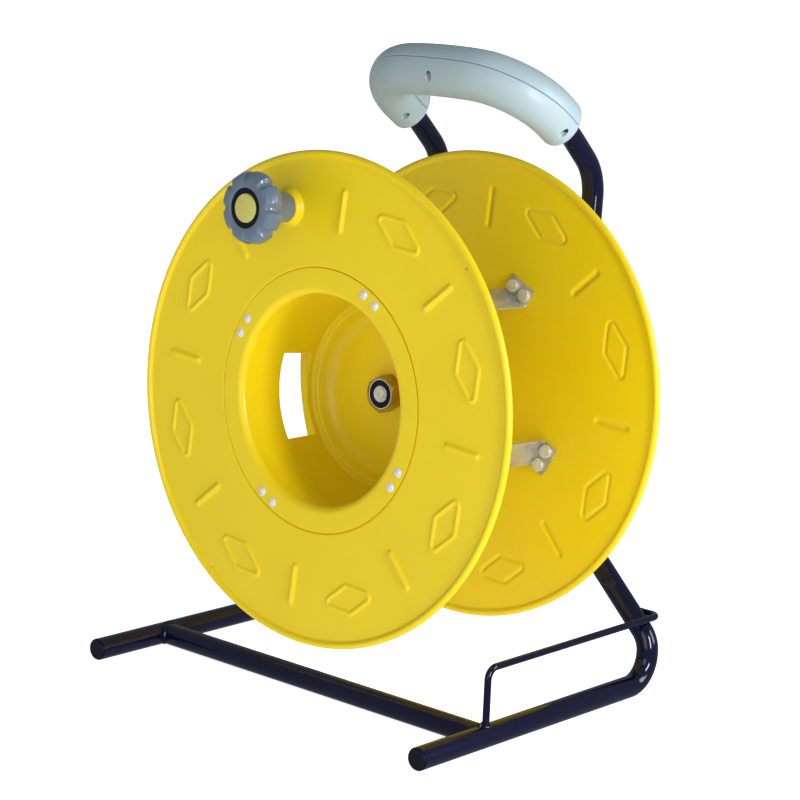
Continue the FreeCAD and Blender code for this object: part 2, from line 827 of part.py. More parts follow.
def grip_shells():
    """Two mouldings clamped on the tube: a collar at each end, hollow between."""
    points, radii = stand_route()
    hollow = swept(points, radii, grip_hollow_r).common(grip_block(grip_collar, 200, -60, 60))
    whole = grip_body().cut(hollow)
    tube = swept(points, radii, tube_r)
    shells = []
    for low, high in ((grip_off, 80), (-80, grip_off)):
        shell = whole.common(grip_block(-60, 240, low, high)).cut(tube)
        for x, along in grip_screw_places:
            shell = shell.cut(screw_hole(x, along, screw_r, screw_low))
            shell = shell.cut(screw_hole(x, along, screw_head_r + 0.4, screw_seat))
        shells.append(shell)
    return shells


def grip_screws():
    screws = []
    for x, along in grip_screw_places:
        shank = screw_hole(x, along, screw_r, screw_low, screw_seat)
        out = (grip_point(x, along, 1) - grip_point(x, along, 0)).normalize()
        head = domed_head(screw_head_r, 1.8, grip_point(x, along, screw_seat), out)
        screws.append(shank.fuse(head))
    return group(screws)


# ---- assembly ----
front_inner, front_outer, front_balls, front_shield = bearing(
    front_seat, nose_r, front_bearing_r, 6.0, 9.2, 1.75, 7, ["front"])
rear_inner, rear_outer, rear_balls, rear_shield = bearing(
    rear_seat, spindle_r, rear_bearing_r, 8.2, 11.8, 2.2, 8, ["front", "rear"])
lower_shell, upper_shell = grip_shells()

nodes = {
    "frame_tube": frame_tube(),
    "cross_tube": cross_tube(),
    "tube_welds": tube_welds(),
    "rail_plugs": rail_plugs(),
    "wire_guide": wire_guide(),
    "guide_welds": guide_welds(),
    "axle_plate": lean(axle_plate()),
    "plate_welds": lean(plate_welds()),
    "spindle": lean(spindle()),
    "spindle_clip": lean(spindle_clip()),
    "spindle_washer": lean(ring(spindle_r, 12.0, plate_front + plate_t, plate_front + plate_t + washer_t)),
    "spindle_nut": lean(hexagon(19.0, plate_front + plate_t + washer_t, plate_front + plate_t + washer_t + nut_t)
                        .cut(ring(0, spindle_r, plate_front, plate_front + 30))),
    "front_bearing_inner_ring": lean(front_inner),
    "front_bearing_outer_ring": lean(front_outer),
    "front_bearing_balls": lean(front_balls),
    "front_bearing_seal": lean(front_shield),
    "rear_bearing_inner_ring": lean(rear_inner),
    "rear_bearing_outer_ring": lean(rear_outer),
    "rear_bearing_balls": lean(rear_balls),
    "rear_bearing_seals": lean(rear_shield),
    "grip_lower_shell": lower_shell,
    "grip_upper_shell": upper_shell,
    "grip_screws": grip_screws(),
    "front_flange": lean(front_flange()),
    "rear_flange": lean(rear_flange()),
    "hub_cup": lean(hub_cup()),
    "hub_ring": lean(hub_ring()),
    "hub_sleeve": lean(hub_sleeve()),
    "sleeve_weld": lean(sleeve_weld()),
    "ring_rivets": lean(ring_rivets()),
    "strap_bolts": lean(strap_bolts()),
    "strap_nuts": lean(strap_nuts()),
    "crank_knob": lean(crank_knob()),
    "knob_ring": lean(knob_ring()),
    "knob_cap": lean(knob_cap()),
    "knob_bush": lean(knob_bush()),
    "knob_pin": lean(knob_pin()),
    "knob_washer": lean(knob_washer()),
    "knob_nut": lean(knob_nut()),
}
for number, turn in enumerate(strap_turns, start=1):
    nodes["core_strap_%d" % number] = lean(core_strap(turn))

os.makedirs("parts", exist_ok=True)
total = Part.makeCompound(list(nodes.values())).BoundBox
for name, shape in nodes.items():
    shape.exportStep("parts/%s.step" % name)
    print("%-26s solids %2d  volume %10.1f mm3  valid %s" % (name, len(shape.Solids), shape.Volume, shape.isValid()))
print("box X %.2f %.2f  Y %.2f %.2f  Z %.2f %.2f" % (
    total.XMin, total.XMax, total.YMin, total.YMax, total.ZMin, total.ZMax))
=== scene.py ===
import json
import math

import bmesh
import bpy
import numpy as np
from mathutils import Matrix, Vector
from mathutils.geometry import delaunay_2d_cdt


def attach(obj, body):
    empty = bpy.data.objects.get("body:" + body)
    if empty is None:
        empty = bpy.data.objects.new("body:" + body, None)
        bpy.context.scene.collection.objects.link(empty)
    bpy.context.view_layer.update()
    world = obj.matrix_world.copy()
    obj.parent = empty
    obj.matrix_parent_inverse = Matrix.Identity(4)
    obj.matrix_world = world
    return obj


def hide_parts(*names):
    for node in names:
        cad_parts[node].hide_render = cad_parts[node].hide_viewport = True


# Empty steel cable reel on a tubular stand.  Lengths are in millimetres until a piece is built;
# finishes, room and lights are in metres.
# Reel pieces are drawn in the reel frame, from the middle of the front flange: x across, u along
# the spindle to the rear, v up.  Stand pieces are drawn in the floor frame: x across, y to the
# rear, z up from the floor.

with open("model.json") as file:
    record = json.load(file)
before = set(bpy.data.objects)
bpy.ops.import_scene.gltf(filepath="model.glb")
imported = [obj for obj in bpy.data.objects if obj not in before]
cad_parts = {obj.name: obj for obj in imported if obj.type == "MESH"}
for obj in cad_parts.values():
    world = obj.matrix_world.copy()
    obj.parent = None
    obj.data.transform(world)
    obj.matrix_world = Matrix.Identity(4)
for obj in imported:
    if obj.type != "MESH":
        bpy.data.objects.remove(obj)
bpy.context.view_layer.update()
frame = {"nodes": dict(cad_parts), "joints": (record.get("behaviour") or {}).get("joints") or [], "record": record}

# ---- frames ----
MM = 0.001
joints = {joint["name"]: joint for joint in frame["joints"]}
spin_axis = Vector(joints["drum_spin"]["axis"]).normalized()
LEAN = math.atan2(-spin_axis.z, spin_axis.y)
FLOOR = Matrix.Scale(MM, 4)
REEL = Matrix.Translation(joints["drum_spin"]["pos_m"]) @ Matrix.Rotation(-LEAN, 4, "X") @ FLOOR
KNOB = Matrix.Translation(joints["knob_spin"]["pos_m"]) @ Matrix.Rotation(-LEAN, 4, "X") @ FLOOR
knob_centre = REEL.inverted() @ Vector(joints["knob_spin"]["pos_m"])
TO_FLOOR = FLOOR.inverted() @ REEL

# ---- driving sizes ----
rim_gap = 164.6         # between the middles of the two sheets
half_sheet = 0.6
rim_r = 175.0
bead_r = 2.6            # wired edge
strap_turns = [61.0 + 90.0 * i for i in range(4)]
fixing_r = 87.9         # rivets of the ring and bolts of the straps
fixing_half_turn = 4.1
fixing_turns = [turn + side * fixing_half_turn for turn in strap_turns for side in (-1, 1)]
tube_r = 8.0
rail_x = 158.4
upright_x = 74.1
upright_u = 200.0
plate_front = 187.0     # the axle plate's faces
plate_back = 192.0
sleeve_r = 17.0
sleeve_end = rim_gap + half_sheet       # flush with the rear flange's rear face


# ---- drawing helpers ----
JOIN_GAP = 0.002        # points nearer than this are one point


def vec(*values):
    return np.array(values, float)


def unit(a):
    return a / np.linalg.norm(a)


def rounded(corners, radii, closed=False, step=9.0):
    """Straight runs joined by tangent arcs, as points; works in two or three dimensions.

    An open line has a radius for each inner corner, a closed one for each corner; step is in degrees.
    """
    corners = [np.array(c, float) for c in corners]
    count = len(corners)
    points = [] if closed else [corners[0]]
    for i in (range(count) if closed else range(1, count - 1)):
        corner = corners[i]
        radius = radii[i if closed else i - 1]
        back = unit(corners[i - 1] - corner)
        ahead = unit(corners[(i + 1) % count] - corner)
        half = math.acos(np.clip(back @ ahead, -1, 1)) / 2
        if radius <= 0 or half > math.pi / 2 - 1e-4:
            points.append(corner)
            continue
        centre = corner + unit(back + ahead) * radius / math.sin(half)
        first = corner + back * radius / math.tan(half) - centre
        last = corner + ahead * radius / math.tan(half) - centre
        turn = math.pi - 2 * half
        parts = max(1, math.ceil(math.degrees(turn) / step))
        for k in range(parts + 1):
            a = turn * k / parts
            points.append(centre + (math.sin(turn - a) * first + math.sin(a) * last) / math.sin(turn))
    if not closed:
        points.append(corners[-1])
    return np.array(points)


def line_normals(points, closed=False):
    """Unit normals of a plane line, to the left of its direction."""
    if closed:
        ahead = np.roll(points, -1, 0) - points
        back = points - np.roll(points, 1, 0)
    else:
        ahead = np.diff(points, axis=0, append=points[-1:])
        ahead[-1] = ahead[-2]
        back = np.vstack([ahead[:1], ahead[:-1]])
    ahead /= np.linalg.norm(ahead, axis=1)[:, None]
    back /= np.linalg.norm(back, axis=1)[:, None]
    d = ahead + back
    n = np.stack([-d[:, 1], d[:, 0]], 1)
    n /= np.linalg.norm(n, axis=1)[:, None]
    stretch = 1 / np.clip((n * np.stack([-ahead[:, 1], ahead[:, 0]], 1)).sum(1), 0.4, 1)
    return n * stretch[:, None]


def circle(radius, count, start=0.0, centre=(0, 0)):
    a = np.radians(start) + np.arange(count) * 2 * math.pi / count
    return np.stack([centre[0] + radius * np.cos(a), centre[1] + radius * np.sin(a)], 1)


def turned(profile, count=96, start=0.0):
    """Rows of a lathe surface: profile is (radius, u) points, the axis is the spindle's."""
    ring = circle(1.0, count, start)
    return [np.stack([r * ring[:, 0], np.full(count, u), r * ring[:, 1]], 1) for r, u in profile]


def swept(path, section, up):
    """Rows of a bar: section (k, 2) carried along path, turning as little as possible."""
    path = np.asarray(path, float)
    tangents = np.gradient(path, axis=0)
    tangents /= np.linalg.norm(tangents, axis=1)[:, None]
    normal = np.array(up, float)
    rows = []
    for point, tangent in zip(path, tangents):
        normal = unit(normal - tangent * (normal @ tangent))
        side = np.cross(tangent, normal)
        rows.append(point + section[:, :1] * normal + section[:, 1:] * side)
    return rows


def around(points, degrees):
    """Points turned about the spindle."""
    a = math.radians(degrees)
    x, u, v = np.asarray(points, float).T
    return np.stack([x * math.cos(a) - v * math.sin(a), u, x * math.sin(a) + v * math.cos(a)], 1)


def rounded_box(width, height, radius, step=30.0):
    w, h = width / 2, height / 2
    return rounded([(-w, -h), (w, -h), (w, h), (-w, h)], [radius] * 4, closed=True, step=step)


def dome(radius, height, rings=7):
    """Profile (radius, rise) of a low spherical cap, from its edge to its top."""
    ball = (radius ** 2 + height ** 2) / (2 * height)
    edge = math.asin(radius / ball)
    angles = [edge * (1 - i / rings) for i in range(rings + 1)]
    return [(ball * math.sin(a), height - ball + ball * math.cos(a)) for a in angles]


class Shape:
    """Collects faces, then becomes one Blender object."""

    def __init__(self):
        self.points = []
        self.faces = []

    def add(self, points, faces):
        first = len(self.points)
        self.points.extend(map(tuple, points))
        self.faces.extend([first + int(i) for i in face] for face in faces)

    def grid(self, rows, around=True, along=False):
        """Quads between rows of equal length; around closes each row, along closes the rows."""
        rows = [np.asarray(row) for row in rows]
        n, m = len(rows), len(rows[0])
        faces = []
        for i in range(n if along else n - 1):
            j = (i + 1) % n
            for k in range(m if around else m - 1):
                q = (k + 1) % m
                faces.append((i * m + k, i * m + q, j * m + q, j * m + k))
        self.add(np.vstack(rows), faces)

    def cap(self, row):
        self.add(row, [range(len(row))])

    def bar(self, rows):
        self.grid(rows)
        self.cap(rows[0])
        self.cap(rows[-1])

    def placed(self, name, place):
        """A linked object of the faces, joined and with outward normals."""
        mesh = bpy.data.meshes.new(name)
        mesh.from_pydata(self.points, [], self.faces)
        edit = bmesh.new()
        edit.from_mesh(mesh)
        bmesh.ops.remove_doubles(edit, verts=edit.verts, dist=JOIN_GAP)
        bmesh.ops.recalc_face_normals(edit, faces=edit.faces)
        bmesh.ops.transform(edit, matrix=place, verts=edit.verts)
        edit.to_mesh(mesh)
        edit.free()
        made = bpy.data.objects.new(name, mesh)
        bpy.context.scene.collection.objects.link(made)
        return made

    def build(self, name, place, body, slot, replaces=(), sharp=35.0, level=False, finish=None):
        """Makes the piece; edges over sharp degrees stay crisp, level keeps flat faces evenly shaded."""
        piece = self.placed(name, place)
        piece.data.shade_smooth()
        piece.data.set_sharp_from_angle(angle=math.radians(sharp))
        piece.data.materials.append(MATERIALS[finish or slot])
        if level:
            settle(piece, "WEIGHTED_NORMAL")
        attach(piece, body)
        if replaces:
            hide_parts(*replaces)
        return piece


def settle(piece, kind, **values):
    """Adds a modifier and applies it for good."""
    added = piece.modifiers.new("step", kind)
    for name, value in values.items():
        setattr(added, name, value)
    view = bpy.context.evaluated_depsgraph_get()
    made = bpy.data.meshes.new_from_object(piece.evaluated_get(view))
    piece.modifiers.clear()
    piece.data = made


def carve(piece, cutters, sharp=35.0):
    """Subtracts closed shapes from a piece for good."""
    for shape, place in cutters:
        cutter = shape.placed("cutter", place)
        settle(piece, "BOOLEAN", object=cutter, solver="EXACT")
        bpy.data.objects.remove(cutter)
    piece.data.shade_smooth()
    piece.data.set_sharp_from_angle(angle=math.radians(sharp))


# ---- materials ----
def surface(name, light, dark, rough, metallic=0.0, coat=0.0, patch=0.02, grain=0.0008, bump=0.02, spec=0.5,
            flow=(1, 1, 1), coat_rough=0.06):
    """Procedural finish: slow colour and roughness drift over patch metres, fine relief of grain metres."""
    made = bpy.data.materials.new(name)
    made.use_nodes = True
    nodes = made.node_tree.nodes
    link = made.node_tree.links.new
    shader = nodes["Principled BSDF"]
    shader.inputs["Metallic"].default_value = metallic
    shader.inputs["Specular IOR Level"].default_value = spec
    shader.inputs["Coat Weight"].default_value = coat
    shader.inputs["Coat Roughness"].default_value = coat_rough
    place = nodes.new("ShaderNodeTexCoord")
    stretch = nodes.new("ShaderNodeMapping")
    stretch.inputs["Scale"].default_value = flow
    link(place.outputs["Object"], stretch.inputs["Vector"])
    drift = nodes.new("ShaderNodeTexNoise")
    drift.inputs["Scale"].default_value = 1 / patch
    drift.inputs["Detail"].default_value = 4.0
    link(stretch.outputs["Vector"], drift.inputs["Vector"])
    tint = nodes.new("ShaderNodeValToRGB")
    tint.color_ramp.elements[0].position = 0.35
    tint.color_ramp.elements[1].position = 0.65
    tint.color_ramp.elements[0].color = (*dark, 1)
    tint.color_ramp.elements[1].color = (*light, 1)
    link(drift.outputs["Fac"], tint.inputs["Fac"])
    link(tint.outputs["Color"], shader.inputs["Base Color"])
    polish = nodes.new("ShaderNodeMapRange")
    polish.inputs["From Min"].default_value = 0.3
    polish.inputs["From Max"].default_value = 0.7
    polish.inputs["To Min"].default_value = rough[0]
    polish.inputs["To Max"].default_value = rough[1]
    link(drift.outputs["Fac"], polish.inputs["Value"])
    link(polish.outputs["Result"], shader.inputs["Roughness"])
    fine = nodes.new("ShaderNodeTexNoise")
    fine.inputs["Scale"].default_value = 1 / grain
    fine.inputs["Detail"].default_value = 3.0
    link(stretch.outputs["Vector"], fine.inputs["Vector"])
    relief = nodes.new("ShaderNodeBump")
    relief.inputs["Strength"].default_value = bump
    relief.inputs["Distance"].default_value = grain / 4
    link(fine.outputs["Fac"], relief.inputs["Height"])
    link(relief.outputs["Normal"], shader.inputs["Normal"])
    return made


FINISHES = {
    "yellow_paint": dict(
        light=(0.80, 0.59, 0.005), dark=(0.78, 0.57, 0.004), rough=(0.30, 0.36),
        coat=0.2, patch=0.09, grain=0.0016, bump=0.035, spec=0.35, coat_rough=0.14,
    ),
    "black_paint": dict(
        light=(0.0030, 0.0030, 0.021), dark=(0.002, 0.002, 0.016), rough=(0.09, 0.14),
        patch=0.03, grain=0.0012, bump=0.03, spec=0.45,
    ),
    # Hexagonal nose: the yellow paint darkened to brown-gold, painted shade for the nose deep in the cup's shadow.
    "nose_painted_shade": dict(
        light=(0.50, 0.32, 0.025), dark=(0.40, 0.25, 0.02), rough=(0.22, 0.32),
        metallic=0.45, patch=0.008, grain=0.0006, bump=0.08,
    ),
    "zinc": dict(
        light=(0.62, 0.60, 0.50), dark=(0.46, 0.44, 0.36), rough=(0.22, 0.34),
        metallic=0.6, patch=0.014, grain=0.0004, bump=0.12, flow=(1, 0.3, 1),
    ),
    # Bolt heads: the rivets' silver made darker and yellow-green, painted shade and painted reflection of the
    # yellow flanges round them.
    "bolt_painted_shade": dict(
        light=(0.82, 0.83, 0.74), dark=(0.68, 0.69, 0.61), rough=(0.18, 0.28),
        metallic=0.5, patch=0.003, grain=0.0004, bump=0.1,
    ),
    "rivet_silver": dict(
        light=(0.90, 0.91, 0.92), dark=(0.82, 0.83, 0.85), rough=(0.20, 0.32),
        metallic=0.35, patch=0.003, grain=0.0004, bump=0.08,
    ),
    "bearing_steel": dict(
        light=(0.90, 0.91, 0.93), dark=(0.80, 0.81, 0.83), rough=(0.14, 0.24),
        metallic=0.5, patch=0.003, grain=0.0003, bump=0.08,
    ),
    "seal_rubber": dict(
        light=(0.006, 0.007, 0.026), dark=(0.004, 0.005, 0.018), rough=(0.42, 0.55),
        patch=0.003, grain=0.0005, bump=0.1, spec=0.25,
    ),
    "grip_grey": dict(
        light=(0.37, 0.465, 0.50), dark=(0.35, 0.445, 0.48), rough=(0.32, 0.40),
        patch=0.04, grain=0.0007, bump=0.16, spec=0.5,
    ),
    "screw_black": dict(
        light=(0.010, 0.012, 0.018), dark=(0.006, 0.007, 0.012), rough=(0.35, 0.5),
        metallic=0.3, patch=0.002, grain=0.0004, bump=0.1,
    ),
    "knob_grey": dict(
        light=(0.120, 0.165, 0.215), dark=(0.106, 0.148, 0.196), rough=(0.26, 0.34),
        coat=0.8, patch=0.012, grain=0.0006, bump=0.12, coat_rough=0.22,
    ),
    "cap_khaki": dict(
        light=(0.56, 0.50, 0.13), dark=(0.51, 0.46, 0.11), rough=(0.30, 0.40),
        patch=0.006, grain=0.0006, bump=0.15,
    ),
    "black_plastic": dict(
        light=(0.004, 0.004, 0.016), dark=(0.003, 0.003, 0.011), rough=(0.25, 0.38),
        patch=0.006, grain=0.0006, bump=0.12, spec=0.3,
    ),
}
MATERIALS = {name: surface(name, **look) for name, look in FINISHES.items()}
for part in frame["record"]["subparts"]:
    materials = frame["nodes"][part["node"]].data.materials
    if materials:
        materials[0] = MATERIALS[part["material_slot"]]
    else:
        materials.append(MATERIALS[part["material_slot"]])


# ---- pressed flanges ----
# Ridges point at the spindle, rhombuses lie between them; middle is a radius, half and rise are
# a ridge's half width and height.
bar_length = 33.0
bar_middle = 135.0
bar_half = 3.6
bar_rise = 1.7
rhombus_middle = 140.5
rhombus_across = 25.3
rhombus_radial = 10.2
rhombus_half = 2.6
rhombus_rise = 1.05
rhombus_corners = (3.8, 3.1)    # radii at the tips along the flange's radius, and at the side tips
press_turns = {"front": 84.9, "rear": 86.6}
ring_count = 360
bead_fillet = 2.2
flat_outer = rim_r - bead_r - math.sqrt((bead_r + bead_fillet) ** 2 - (half_sheet + bead_fillet) ** 2)
STEPS = np.array([0.0, 0.2, 0.4, 0.6, 0.8, 1.0, 1.15])     # across half a ridge; past 1 lies flat


def rise(t, height):
    """Rounded bump over -1..1."""
    return height * (0.5 + 0.5 * np.cos(math.pi * np.clip(np.abs(t), 0, 1)))


def pressed_bar(turn):
    """Capsule ridge along a radius: its outline, its rows of (x, v, rise), and no flat inside."""
    along = vec(math.cos(math.radians(turn)), math.sin(math.radians(turn)))
    across = vec(-along[1], along[0])
    a = np.radians(np.linspace(-90, 90, 13))
    cap = np.stack([np.cos(a), np.sin(a)], 1)
    rows = []
    for t in STEPS[::-1]:
        top = vec(bar_length / 2 - bar_half, 0) + cap * t * bar_half
        loop = np.vstack([top, -top])
        plane = bar_middle * along + loop[:, :1] * along + loop[:, 1:] * across
        rows.append(np.column_stack([plane, np.full(len(plane), rise(t, bar_rise))]))
    return rows[0][:, :2], rows, None


def pressed_rhombus(turn):
    """Closed ridge along a rhombus; the flat inside it is its third result."""
    out = vec(math.cos(math.radians(turn)), math.sin(math.radians(turn)))
    across = vec(-out[1], out[0])
    tips = [(rhombus_radial, 0), (0, rhombus_across), (-rhombus_radial, 0), (0, -rhombus_across)]
    line = rounded(tips, rhombus_corners * 2, closed=True, step=8)
    normals = -line_normals(line, closed=True)
    offsets = np.concatenate([STEPS[::-1], -STEPS[1:]])
    rows = []
    for t in offsets:
        loop = line + normals * t * rhombus_half
        plane = rhombus_middle * out + loop[:, :1] * out + loop[:, 1:] * across
        rows.append(np.column_stack([plane, np.full(len(plane), rise(t, rhombus_rise))]))
    return rows[0][:, :2], rows, rows[-1]


def inside(points, loop):
    """Which points lie in a closed loop."""
    x, y = points[:, :1], points[:, 1:]
    ax, ay = loop.T
    bx, by = np.roll(loop, -1, 0).T
    crossing = (ay > y) != (by > y)
    at = ax + (y - ay) * (bx - ax) / np.where(by == ay, 1e-9, by - ay)
    return (crossing & (x < at)).sum(1) % 2 == 1


def flat_region(outer, holes, spacing=6.5):
    """Triangles between an outer circle and holes, with spare points so that none is a sliver."""
    reach = np.linalg.norm(outer[0])
    spots = []
    for radius in np.arange(spacing, reach - 1, spacing):
        spots.append(circle(radius, max(6, int(2 * math.pi * radius / spacing))))
    spots = np.vstack(spots)
    spots = spots[np.linalg.norm(spots, axis=1) < reach - spacing / 2]
    for hole in holes:
        away = np.linalg.norm(spots[:, None] - hole[None], axis=2).min(1) > spacing / 3
        spots = spots[away & ~inside(spots, hole)]
    loops = [outer, *holes]
    edges = []
    first = 0
    for loop in loops:
        n = len(loop)
        edges.extend((first + i, first + (i + 1) % n) for i in range(n))
        first += n
    points = np.vstack([*loops, spots])
    verts, _, faces = delaunay_2d_cdt([Vector(p) for p in points], edges, [], 0, 1e-5)[:3]
    verts = np.array([tuple(v) for v in verts])
    faces = np.array(faces)
    middles = verts[faces].mean(1)
    keep = inside(middles, outer)
    for hole in holes:
        keep &= ~inside(middles, hole)
    return verts, faces[keep]


def lifted(line, base, out):
    """A line of (x, v, rise) as points standing out from the plane u = base."""
    return np.column_stack([line[:, 0], base + out * line[:, 2], line[:, 1]])


def flange(turn, plane_u, out, inner_loop, skip_turn=None, extra_holes=()):
    """Both faces of a pressed sheet and its wired rim.

    out is -1 or +1, the way the pattern stands; the rhombus nearest to skip_turn is left out.
    """
    shape = Shape()
    pitch = 45.0
    features = [pressed_bar(turn + pitch * i) for i in range(8)]
    for i in range(8):
        at = turn + pitch / 2 + pitch * i
        if skip_turn is None or abs(at - skip_turn) > pitch / 2:
            features.append(pressed_rhombus(at))
    outer = circle(flat_outer, ring_count)
    holes = [inner_loop, *[f[0] for f in features], *extra_holes]
    verts, faces = flat_region(outer, holes)
    for side in (1, -1):
        base = plane_u + out * side * half_sheet
        shape.add(np.column_stack([verts[:, 0], np.full(len(verts), base), verts[:, 1]]), faces)
        for _, rows, island in features:
            shape.grid([lifted(line, base, out) for line in rows])
            if island is not None:
                shape.cap(lifted(island, base, out))
    wire_r = rim_r - bead_r
    start = math.atan2(half_sheet + bead_fillet, flat_outer - wire_r)
    fillet = [
        (flat_outer + bead_fillet * math.sin(a), half_sheet + bead_fillet - bead_fillet * math.cos(a))
        for a in np.linspace(0, start - math.pi / 2, 5)
    ]
    wire = [(wire_r + bead_r * math.cos(a), bead_r * math.sin(a)) for a in np.linspace(start, 0, 14)]
    half = fillet + wire[1:]
    profile = half + [(r, -u) for r, u in half[-2::-1]]
    shape.grid(turned([(r, plane_u + out * u) for r, u in profile], ring_count))
    return shape


lip_r = 80.0
joggle_outer = 95.4     # the sheet steps back inside this, under the hub ring
joggle_depth = 1.2
boss_edge = 15.8        # foot of the boss behind the knob
boss_rise = 5.4
boss_bore = 3.3
pin_r = 1.0
pin_reach = 167.2
pin_turns = (40.9, -124.7)


def front_flange():
    """Pressing with the joggle for the hub ring, the knob's boss and two small pin holes."""
    inner = circle(joggle_outer, ring_count)
    count = 72
    knob_xy = (knob_centre.x, knob_centre.z)
    boss_loop = circle(boss_edge, count, centre=knob_xy)
    skip = math.degrees(math.atan2(knob_centre.z, knob_centre.x))
    pin_spots = [(pin_reach * math.cos(a), pin_reach * math.sin(a)) for a in map(math.radians, pin_turns)]
    pin_loops = [circle(pin_r, 16, centre=spot) for spot in pin_spots]
    shape = flange(press_turns["front"], 0.0, -1, inner, skip, [boss_loop, *pin_loops])
    for loop in pin_loops:
        walls = [(loop[:, 0], np.full(len(loop), u), loop[:, 1]) for u in (-half_sheet, half_sheet)]
        shape.grid([np.column_stack(wall) for wall in walls])
    step_line = [(joggle_outer, 0), (94.6, 0), (93.9, joggle_depth), (lip_r, joggle_depth)]
    joggle = rounded(step_line, [0.5, 0.5], step=20)
    normals = line_normals(joggle)
    near = joggle + normals * half_sheet
    far = joggle - normals * half_sheet
    low, high = (near, far) if near[0, 1] < far[0, 1] else (far, near)
    shape.grid(turned(np.vstack([low, high[::-1]]), ring_count))
    outside, hollow = [
        rounded([(boss_edge, 0), (foot, 0), (top, boss_rise), (boss_bore, boss_rise)], [1.6, 1.5], step=12)
        for foot, top in ((13.4, 11.3), (12.4, 10.3))
    ]
    rows = [(r, -half_sheet - h) for r, h in outside] + [(r, half_sheet - h) for r, h in hollow[::-1]]
    rows = turned(rows, count)
    shape.grid([row + vec(knob_xy[0], 0, knob_xy[1]) for row in rows])
    shape.build("front_flange_pressing", REEL, "drum", "yellow_paint", ["front_flange"], level=True)


def rear_flange():
    """Pressing that reaches in to the hub sleeve."""
    inner = circle(sleeve_r, ring_count)
    shape = flange(press_turns["rear"], rim_gap, 1, inner)
    shape.grid(turned([(sleeve_r, rim_gap - half_sheet), (sleeve_r, rim_gap + half_sheet)], ring_count))
    shape.build("rear_flange_pressing", REEL, "drum", "yellow_paint", ["rear_flange"], level=True)


# ---- hub ----
window_u = (36.0, 62.0)         # opening in the cup's wall, along u
window_turns = (163.0, 214.0)   # and round the spindle
cutter_r = (60, 90)             # cut across the wall
cup_line = rounded(
    [(93.1, 0), (75.6, 0), (75.6, 22), (69.0, 67.1), (64.3, 67.1), (58.2, 77.1), (8, 77.1)],
    [4.6, 0, 3.4, 2.2, 13.0],
    step=7,
)


def hub_cup():
    """Deep cup and its flat ring in one pressing, with a window cut in the wall."""
    normals = line_normals(cup_line)
    loop = np.vstack([cup_line + normals * half_sheet, (cup_line - normals * half_sheet)[::-1]])
    shape = Shape()
    shape.grid(turned(loop, 240), along=True)
    cup = shape.build("hub_cup_pressing", REEL, "drum", "yellow_paint", ["hub_cup", "hub_ring"])
    cutter = Shape()
    a = np.radians(np.linspace(*window_turns, 42))
    near, far = cutter_r
    rows = []
    for r, u in ((near, window_u[0]), (far, window_u[0]), (far, window_u[1]), (near, window_u[1])):
        rows.append(np.column_stack([r * np.cos(a), np.full(len(a), u), r * np.sin(a)]))
    cutter.grid(rows, around=False, along=True)
    cutter.cap([row[0] for row in rows])
    cutter.cap([row[-1] for row in rows])
    carve(cup, [(cutter, REEL)], sharp=40)


# ---- fasteners ----
def headed(shape, profile, spot, out, count=28):
    """Adds a turned head or shank at a point of the reel; profile is (radius, rise) along out."""
    rows = turned([(r, out * h) for r, h in profile], count)
    shape.grid([row + spot for row in rows])


def ring_rivets():
    """Domed heads on the hub ring, and their tails behind the straps' front feet."""
    shape = Shape()
    head = [(0.0, 0.0), (3.3, 0.0), (3.35, 0.25), *dome(3.25, 1.25)[1:]]
    tail = [(0.0, 0.0), *dome(3.0, 1.2)]
    for turn in fixing_turns:
        headed(shape, head, around([(fixing_r, -half_sheet, 0)], turn)[0], -1)
        headed(shape, tail, around([(fixing_r, foot_u[0] + strap_thick / 2, 0)], turn)[0], 1)
    shape.build("ring_rivets_domed", REEL, "drum", "rivet_silver", ["ring_rivets"])


def hex_reach(flats, angles):
    """Radius of a hexagon across flats at each angle."""
    turn = (angles + math.pi / 6) % (math.pi / 3) - math.pi / 6
    return flats / 2 / np.cos(turn)


def hex_rows(flats, front, back, bore, count=96, bevel=0.4, both=True):
    """Rows of a nut from its bore at the front face, over the outside, to its bore at the back.

    Without both, the back is a plain edge that ends at the outside.
    """
    angles = np.arange(count) * 2 * math.pi / count
    reach = hex_reach(flats, angles)
    cone = flats / 2 + bevel
    drop = np.clip(reach - cone, 0, None) * 0.75
    out = 1 if back > front else -1
    face = np.minimum(reach, cone)
    lead = 0.4
    steps = [(bore, lead), (bore + lead, 0.0), (face, 0.0), (reach, drop + 0.05)]
    ends = [(r, -u) for r, u in steps[::-1]] if both else [(reach, 0.0)]
    rows = []
    for start, half in ((front, steps), (back, ends)):
        for r, u in half:
            r = r * np.ones(count)
            u = (start + out * u) * np.ones(count)
            rows.append(np.column_stack([r * np.cos(angles), u, r * np.sin(angles)]))
    return rows


def lathe(name, corners, radii, body, slot, replaces, place=REEL, count=64, step=20, sharp=35.0):
    """One closed turned piece from a (radius, u) outline that does not touch the axis."""
    shape = Shape()
    shape.grid(turned(rounded(corners, radii, closed=True, step=step), count), along=True)
    shape.build(name, place, body, slot, replaces, sharp)


nose_flats = 24.0
nose_front = 64.5
nose_back = 77.4
bearing_u = (65, 72)
bearing_r = 11.0
inner_ring_r = (4, 6)


